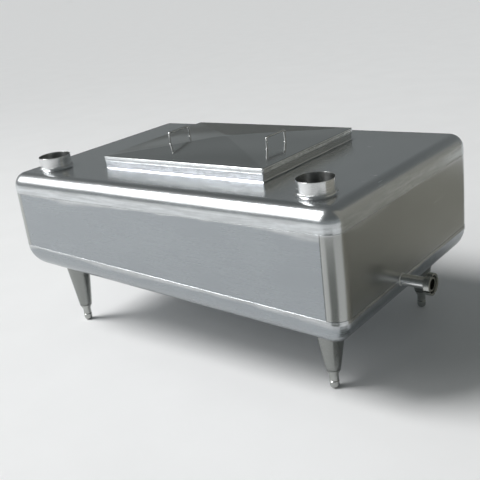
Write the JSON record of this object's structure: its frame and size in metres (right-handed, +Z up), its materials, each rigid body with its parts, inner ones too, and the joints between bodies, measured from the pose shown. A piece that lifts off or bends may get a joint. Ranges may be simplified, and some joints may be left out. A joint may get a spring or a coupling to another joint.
{
  "type": "bulk milk tank",
  "caption": "Rectangular insulated stainless milk tank on four cone legs, with a lift-off lid, two open deck collars and a threaded outlet in one end.",
  "frame": {"origin": "floor point under the middle of the overall length and width, outlet nut included", "axes": "+X along the tank to the outlet end, +Y to the rear (the collars are at the front, -Y), +Z up"},
  "size_m": [1.695, 1, 0.818],
  "materials": {
    "satin_stainless": "satin",
    "polished_stainless": "polished",
    "turned_stainless": "satin",
    "foam": "matte"
  },
  "bodies": {
    "tank": {"deck_front": "polished_stainless", "deck_rear": "polished_stainless", "deck_left": "polished_stainless", "deck_right": "polished_stainless", "front_wall": "satin_stainless", "rear_wall": "satin_stainless", "left_end_wall": "satin_stainless", "right_end_wall": "satin_stainless", "belly_plate": "satin_stainless", "belly_front": "satin_stainless", "belly_rear": "satin_stainless", "belly_left": "satin_stainless", "belly_right": "satin_stainless", "roof_front": "satin_stainless", "roof_rear": "satin_stainless", "roof_left": "satin_stainless", "roof_right": "satin_stainless", "tub_floor": "satin_stainless", "tub_front": "satin_stainless", "tub_rear": "satin_stainless", "tub_left_end": "satin_stainless", "tub_right_end": "satin_stainless", "evaporator_plate": "satin_stainless", "insulation_foam": "foam", "manway_coaming": "polished_stainless", "inlet_collar_left": "polished_stainless", "inlet_collar_right": "polished_stainless", "outlet_tube": "satin_stainless", "outlet_liner": "turned_stainless", "leg_cone_front_left": "satin_stainless", "leg_cone_front_right": "satin_stainless", "leg_cone_rear_left": "satin_stainless", "leg_cone_rear_right": "satin_stainless", "leg_bush_front_left": "turned_stainless", "leg_bush_front_right": "turned_stainless", "leg_bush_rear_left": "turned_stainless", "leg_bush_rear_right": "turned_stainless"},
    "lid": {"lid_pan": "polished_stainless", "lid_handle_left": "polished_stainless", "lid_handle_right": "polished_stainless"},
    "union_nut": {"outlet_union_nut": "turned_stainless"},
    "foot_front_left": {"levelling_foot_front_left": "turned_stainless"},
    "foot_front_right": {"levelling_foot_front_right": "turned_stainless"},
    "foot_rear_left": {"levelling_foot_rear_left": "turned_stainless"},
    "foot_rear_right": {"levelling_foot_rear_right": "turned_stainless"}
  },
  "joints": [
    {"name": "lid_lift", "type": "slide", "parent": "tank", "child": "lid", "axis": [0, 0, 1], "range_m": [0, 0.15]},
    {"name": "union_nut_spin", "type": "hinge", "parent": "tank", "child": "union_nut", "pos_m": [0.8365, -0.102, 0.33212], "axis": [1, 0, 0], "continuous": true},
    {"name": "foot_front_left_height", "type": "slide", "parent": "tank", "child": "foot_front_left", "axis": [0, 0, -1], "range_m": [0, 0.03]},
    {"name": "foot_front_right_height", "type": "slide", "parent": "tank", "child": "foot_front_right", "axis": [0, 0, -1], "range_m": [0, 0.03]},
    {"name": "foot_rear_left_height", "type": "slide", "parent": "tank", "child": "foot_rear_left", "axis": [0, 0, -1], "range_m": [0, 0.03]},
    {"name": "foot_rear_right_height", "type": "slide", "parent": "tank", "child": "foot_rear_right", "axis": [0, 0, -1], "range_m": [0, 0.03]}
  ]
}
